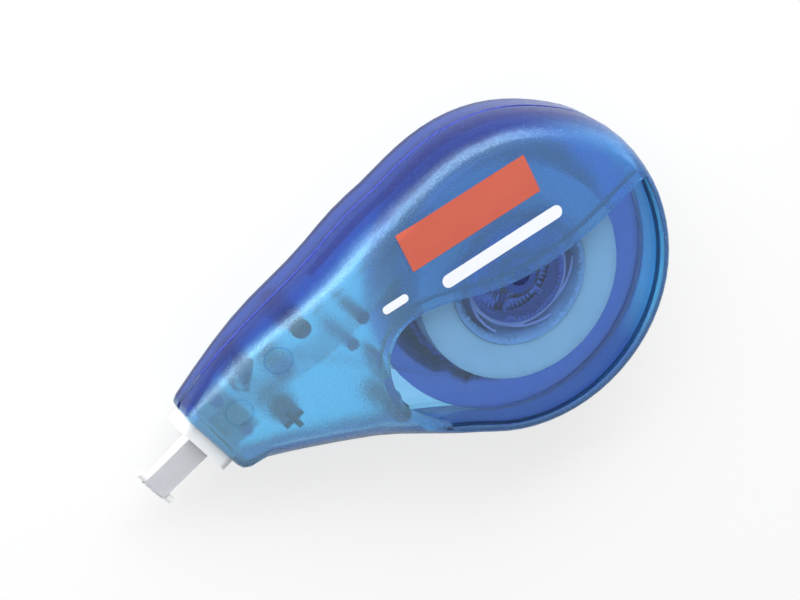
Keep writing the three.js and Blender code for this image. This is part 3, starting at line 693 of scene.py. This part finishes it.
class PrintLooks(bpy.types.PropertyGroup):
    """Plain printed bars on the case"""

    panel: colour_property("Panel ink", "Colour of the plain panel", "#CC6350")
    panel_shade: colour_property("Panel shade", "Colour where the panel's ink is thick", "#C45B48")
    bar: colour_property("Bar ink", "Colour of the plain bars", "#F2F5FA")
    bar_shade: colour_property("Bar shade", "Colour where the bars' ink is thin", "#E9EDF5")
    film: length_property("Ink film", "Thickness of the ink", 0.02)


class StageLooks(bpy.types.PropertyGroup):
    """Floor and lamps"""

    floor: colour_property("Floor", "Colour of the floor", "#F7F8F9")
    world_level: bpy.props.FloatProperty(
        name="World level", description="Light from all round", default=0.42, min=0)
    softbox_power: bpy.props.FloatProperty(
        name="Softbox power", description="Power of the softbox behind the case",
        default=5.6, min=0, unit="POWER")


class TAPE_OT_case(bpy.types.Operator):
    """Makes both halves of the clear case, frosted outside and polished at the window"""

    bl_idname = "tape.case"
    bl_label = "Case halves"

    def execute(self, context):
        looks = context.scene.tape_case
        finishes = (
            spark_eroded_case(looks),
            polished_case(looks),
            posts_painted_deep(looks),
            finely_eroded_painted_pale_case(looks),
        )
        for node, side in (("front_shell", FRONT), ("back_shell", BACK)):
            piece = copy_of_node(node, node + "_skin")
            self.fill_outline(piece)
            for plastic in finishes:
                piece.data.materials.append(plastic)
            self.share_finishes(piece, side)
            select_only(piece)
            bpy.ops.object.shade_smooth_by_angle(angle=math.radians(CASE_EDGE))
            even_normals(piece, NORMAL_REACH, CASE_EDGE)
            stand_for(piece, node, "case")
        return {"FINISHED"}

    def fill_outline(self, piece):
        """Moves the walls out a little where the photograph's outline is fuller."""
        for corner in piece.data.vertices:
            for place, outwards, amount, reach in FULLER_PLACES:
                away = (corner.co.xy / MM - Vector(place)).length / reach
                corner.co.xy += Vector(outwards).normalized() * (amount * MM * math.exp(-away * away))

    def share_finishes(self, piece, side):
        """Gives each face its finish. What no test takes keeps the first one, the frosted skin."""
        window_edge = self.window_corners(piece)
        for face in piece.data.polygons:
            if self.is_window(face) or self.is_step(face, side, window_edge):
                face.material_index = POLISHED
            elif self.is_lower_seam(face):
                face.material_index = FROSTED
            elif self.is_inside(piece, face, side):
                face.material_index = self.inner_finish(piece, face)
            # Painted light: the back half away from the upper side takes the paler fine finish
            elif side == BACK and face.normal.y < UPWARD_SHARE:
                face.material_index = FINE_PAINTED_PALE

    def is_window(self, face):
        """True on the two flat faces of the sunk window."""
        height = face.center.z / MM
        flat = abs(face.normal.z) > FLAT_SHARE
        off = min(abs(height - WINDOW_OUTSIDE), abs(height - WINDOW_INSIDE))
        return flat and off < WINDOW_MATCH and face.center.x > WINDOW_LEFT * MM

    def window_corners(self, piece):
        """The corners of the window's outer face, to be searched by place."""
        corners = set()
        for face in piece.data.polygons:
            if self.is_window(face) and face.normal.z > 0:
                corners.update(face.vertices)
        finder = KDTree(len(corners))
        for corner in corners:
            finder.insert(piece.data.vertices[corner].co, corner)
        finder.balance()
        return finder

    def is_step(self, face, side, window_edge):
        """True on the small wall that drops from the frosted skin to the window."""
        if side == BACK or face.center.z < WINDOW_OUTSIDE * MM:
            return False
        drops = 0 < face.normal.z < STEP_SHARE and face.normal.y < 0
        nearest, _, distance = window_edge.find(face.center)
        faces_window = face.normal.xy.dot(nearest.xy - face.center.xy) > 0
        return drops and faces_window and distance < STEP_REACH * MM

    def is_inside(self, piece, face, side):
        """True on faces that look into the case."""
        if face.normal.z * side < -INWARD_SHARE:
            return True
        start = face.center + face.normal * (RAY_START * MM)
        return piece.ray_cast(start, face.normal)[0]

    def is_upright(self, face):
        """True on walls, which rise steeply along Z."""
        return abs(face.normal.z) < UPRIGHT_SHARE

    def is_seam(self, face):
        """True on the ledges where the halves meet."""
        near = abs(face.center.z / MM - SEAM_HEIGHT) < SEAM_REACH
        return near and not self.is_upright(face)

    def is_lower_seam(self, face):
        """True on the ledges along the lower side."""
        return self.is_seam(face) and face.center.y < UPPER_SEAM * MM

    def inner_finish(self, piece, face):
        """The finish of a face that looks into the case: post, wall or level face."""
        if self.is_thick(piece, face):
            return POSTS
        # Inner walls take the fine finish with its painted light
        return FINE_PAINTED_PALE if self.is_upright(face) else POLISHED

    def is_thick(self, piece, face):
        """True on the sides and ends of posts and ribs, and on the upper ledges."""
        behind = -face.normal
        step = behind * (RAY_START * MM)
        out, place, _, _ = piece.ray_cast(face.center + step, behind)
        if not self.is_upright(face):
            return self.is_seam(face) or (place - face.center).length > POST_DEPTH * MM
        return out and piece.ray_cast(place + step, behind)[0]


class TAPE_OT_reels(bpy.types.Operator):
    """Makes the take-up reel, the supply core and the slip clutch between them"""

    bl_idname = "tape.reels"
    bl_label = "Reels and clutch"

    def execute(self, context):
        smooth_piece("take_up_reel", "take_up_reel_body", smooth_reel(), "take_up")
        smooth_piece("supply_reel", "supply_reel_body", pale_core(), "supply")
        smooth_piece(
            "slip_clutch_ring", "slip_clutch_ring_body", lilac_clutch(), "take_up")
        return {"FINISHED"}


class TAPE_OT_rolls(bpy.types.Operator):
    """Makes the wound fresh tape and the used carrier on its drum"""

    bl_idname = "tape.rolls"
    bl_label = "Wound tape"

    def execute(self, context):
        smooth_piece(
            "supply_tape_roll", "supply_tape_roll_turns", wound_tape(), "supply")
        smooth_piece(
            "take_up_tape_roll", "take_up_tape_roll_turns", wound_carrier(), "take_up")
        return {"FINISHED"}


class TAPE_OT_runs(bpy.types.Operator):
    """Makes the two stretches of tape between the reels and the tip"""

    bl_idname = "tape.runs"
    bl_label = "Tape runs"

    def execute(self, context):
        smooth_piece("tape_feed_run", "tape_feed_run_film", tape_layer(), "case")
        smooth_piece(
            "tape_return_run", "tape_return_run_film", carrier_layer(), "case")
        return {"FINISHED"}


class TAPE_OT_tip(bpy.types.Operator):
    """Makes the white tip with softened edges"""

    bl_idname = "tape.tip"
    bl_label = "Applicator tip"

    def execute(self, context):
        tip = copy_of_node("applicator_tip", "applicator_tip_body")
        tip.data.materials.append(white_tip())
        soften_edges(tip, TIP_ROUNDING, TIP_EDGE)
        shade_smooth(tip, PIECE_EDGE)
        stand_for(tip, "applicator_tip", "case")
        return {"FINISHED"}


class TAPE_OT_print(bpy.types.Operator):
    """Prints a plain panel and plain bars on the frosted skin"""

    bl_idname = "tape.print"
    bl_label = "Printed bars"

    def execute(self, context):
        looks = context.scene.tape_print
        skin = bpy.data.objects.get("front_shell_skin")
        if skin is None:
            raise RuntimeError("The case halves are made before the print.")
        inks = {
            "panel": printing_ink("Red pad printing ink", looks.panel, looks.panel_shade),
            "bar": printing_ink("White pad printing ink", looks.bar, looks.bar_shade),
        }
        for name, ink, centre, length, width, corner in PRINTS:
            film = self.flat_bar(name, centre, length, width, corner)
            film.data.materials.append(inks[ink])
            self.lay_on(film, skin, looks.film)
            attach(film, "case")
        return {"FINISHED"}

    def flat_bar(self, name, centre, length, width, corner):
        """A thin level bar with round corners above the case, cut fine enough to bend."""
        place = Vector((*centre, PRINT_HEIGHT)) * MM
        bpy.ops.object.select_all(action="DESELECT")
        bpy.ops.mesh.primitive_plane_add(size=1, location=place)
        bar = bpy.context.object
        bar.name = name
        bpy.ops.object.mode_set(mode="EDIT")
        bpy.ops.mesh.select_all(action="SELECT")
        bpy.ops.transform.resize(value=(length * MM, width * MM, 1), center_override=place)
        bpy.ops.mesh.bevel(offset=corner * MM, segments=6, affect="VERTICES")
        for axis, size in ((0, length), (1, width)):
            cuts = max(int(size / PRINT_CUT), 2)
            for step in range(1, cuts):
                at = place.copy()
                at[axis] += (step / cuts - 0.5) * size * MM
                across = (1, 0, 0) if axis == 0 else (0, 1, 0)
                bpy.ops.mesh.select_all(action="SELECT")
                bpy.ops.mesh.bisect(plane_co=at, plane_no=across)
        bpy.ops.mesh.select_all(action="SELECT")
        bpy.ops.transform.rotate(
            value=-math.radians(PRINT_TURN), orient_axis="Z", center_override=place)
        bpy.ops.object.mode_set(mode="OBJECT")
        bpy.ops.object.transform_apply(location=True, rotation=True, scale=True)
        return bar

    def lay_on(self, film, skin, thickness):
        """Drops the bar on the skin and gives it the thickness of its ink."""
        select_only(film)
        drop = film.modifiers.new("on the skin", "SHRINKWRAP")
        drop.target = skin
        drop.wrap_method = "PROJECT"
        drop.use_project_z = True
        drop.use_negative_direction = True
        drop.use_positive_direction = False
        drop.offset = PRINT_GAP * MM
        bpy.ops.object.modifier_apply(modifier=drop.name)
        ink = film.modifiers.new("ink", "SOLIDIFY")
        ink.thickness = thickness
        ink.offset = 1
        bpy.ops.object.modifier_apply(modifier=ink.name)
        bpy.ops.object.shade_smooth_by_angle(angle=math.radians(PIECE_EDGE))


class TAPE_OT_stage(bpy.types.Operator):
    """Makes the floor, the lamps, the world and the camera"""

    bl_idname = "tape.stage"
    bl_label = "Stage"

    def execute(self, context):
        looks = context.scene.tape_stage
        self.lay_floor(looks)
        self.light_world(context.scene, looks)
        self.hang_softbox(looks)
        self.place_camera(context.scene)
        context.scene.view_settings.view_transform = "Standard"
        return {"FINISHED"}

    def white_rays(self, tree):
        """Where the ray shows the background: seen directly, and seen through clear plastic."""
        path = add_node(tree, "ShaderNodeLightPath")
        return path.outputs["Is Camera Ray"], path.outputs["Is Transmission Ray"]

    def lay_floor(self, looks):
        """A wide pale floor that shows white but keeps part of the shadow."""
        bpy.ops.object.select_all(action="DESELECT")
        bpy.ops.mesh.primitive_plane_add(size=FLOOR_SIZE, location=(0, 0, -FLOOR_DROP * MM))
        floor = bpy.context.object
        floor.name = "floor"
        # Painted board: pale and matt, so that it shows no reflection
        material, tree, output = empty_material("Pale matt board")
        board = add_node(
            tree, "ShaderNodeBsdfPrincipled", {"Base Color": looks.floor, "Roughness": 0.8})
        white = add_node(tree, "ShaderNodeEmission", {"Color": WHITE, "Strength": 1.0})
        seen, seen_through = self.white_rays(tree)
        kept = add_node(
            tree, "ShaderNodeMath", {"operation": "MULTIPLY", 1: FLOOR_WHITE}, {0: seen})
        share = add_node(
            tree,
            "ShaderNodeMath",
            {"operation": "MAXIMUM"},
            {0: kept.outputs["Value"], 1: seen_through},
        )
        mix = add_node(
            tree,
            "ShaderNodeMixShader",
            {},
            {0: share.outputs["Value"], 1: board.outputs["BSDF"], 2: white.outputs["Emission"]},
        )
        tree.links.new(mix.outputs["Shader"], output.inputs["Surface"])
        floor.data.materials.append(material)

    def light_world(self, scene, looks):
        """Even light from all round, white where it is seen."""
        world = bpy.data.worlds.new("White tent")
        scene.world = world
        world.use_nodes = True
        tree = world.node_tree
        tree.nodes.clear()
        output = add_node(tree, "ShaderNodeOutputWorld")
        light = add_node(
            tree, "ShaderNodeBackground", {"Color": WHITE, "Strength": looks.world_level})
        white = add_node(tree, "ShaderNodeBackground", {"Color": WHITE, "Strength": 1.0})
        seen, seen_through = self.white_rays(tree)
        share = add_node(
            tree, "ShaderNodeMath", {"operation": "MAXIMUM"}, {0: seen, 1: seen_through})
        mix = add_node(
            tree,
            "ShaderNodeMixShader",
            {},
            {0: share.outputs["Value"], 1: light.outputs["Background"], 2: white.outputs["Background"]},
        )
        tree.links.new(mix.outputs["Shader"], output.inputs["Surface"])

    def hang_softbox(self, looks):
        """One softbox behind the upper edge, aimed at the case."""
        target = Vector(SOFTBOX_TARGET) * MM
        place = target + Vector(SOFTBOX_WAY).normalized() * SOFTBOX_DISTANCE
        lamp = bpy.data.lights.new("softbox", "AREA")
        lamp.shape = "RECTANGLE"
        lamp.size = SOFTBOX_LENGTH
        lamp.size_y = SOFTBOX_WIDTH
        lamp.energy = looks.softbox_power
        holder = bpy.data.objects.new("softbox", lamp)
        bpy.context.scene.collection.objects.link(holder)
        holder.location = place
        holder.rotation_euler = (target - place).to_track_quat("-Z", "Y").to_euler()

    def place_camera(self, scene):
        """The photograph's camera."""
        camera = bpy.data.cameras.new("photo camera")
        camera.lens = CAMERA_LENS
        camera.sensor_width = SENSOR_WIDTH
        camera.clip_start = CAMERA_NEAREST
        holder = bpy.data.objects.new("photo camera", camera)
        scene.collection.objects.link(holder)
        right = Vector(CAMERA_RIGHT)
        up = Vector(CAMERA_UP)
        back = -Vector(CAMERA_FORWARD)
        turn = Matrix((right, up, back)).transposed().to_4x4()
        holder.matrix_world = Matrix.Translation(Vector(CAMERA_PLACE) * MM) @ turn
        scene.camera = holder


class TAPE_PT_panel(bpy.types.Panel):
    """Lists the steps in order"""

    bl_idname = "TAPE_PT_panel"
    bl_label = "Correction tape"
    bl_space_type = "VIEW_3D"
    bl_region_type = "UI"
    bl_category = "Correction tape"

    def draw(self, context):
        for step in STEPS:
            self.layout.operator(step.bl_idname)
        for group in (context.scene.tape_case, context.scene.tape_print, context.scene.tape_stage):
            for name in group.__annotations__:
                self.layout.prop(group, name)


STEPS = (
    TAPE_OT_case,
    TAPE_OT_reels,
    TAPE_OT_rolls,
    TAPE_OT_runs,
    TAPE_OT_tip,
    TAPE_OT_print,
    TAPE_OT_stage,
)
GROUPS = (CaseLooks, PrintLooks, StageLooks)


def register():
    for item in (*GROUPS, *STEPS, TAPE_PT_panel):
        bpy.utils.register_class(item)
    bpy.types.Scene.tape_case = bpy.props.PointerProperty(type=CaseLooks)
    bpy.types.Scene.tape_print = bpy.props.PointerProperty(type=PrintLooks)
    bpy.types.Scene.tape_stage = bpy.props.PointerProperty(type=StageLooks)


def unregister():
    del bpy.types.Scene.tape_stage
    del bpy.types.Scene.tape_print
    del bpy.types.Scene.tape_case
    for item in reversed((*GROUPS, *STEPS, TAPE_PT_panel)):
        bpy.utils.unregister_class(item)


def main():
    register()
    bpy.ops.tape.case()
    bpy.ops.tape.reels()
    bpy.ops.tape.rolls()
    bpy.ops.tape.runs()
    bpy.ops.tape.tip()
    bpy.ops.tape.print()
    bpy.ops.tape.stage()


if __name__ == "__main__":
    main()
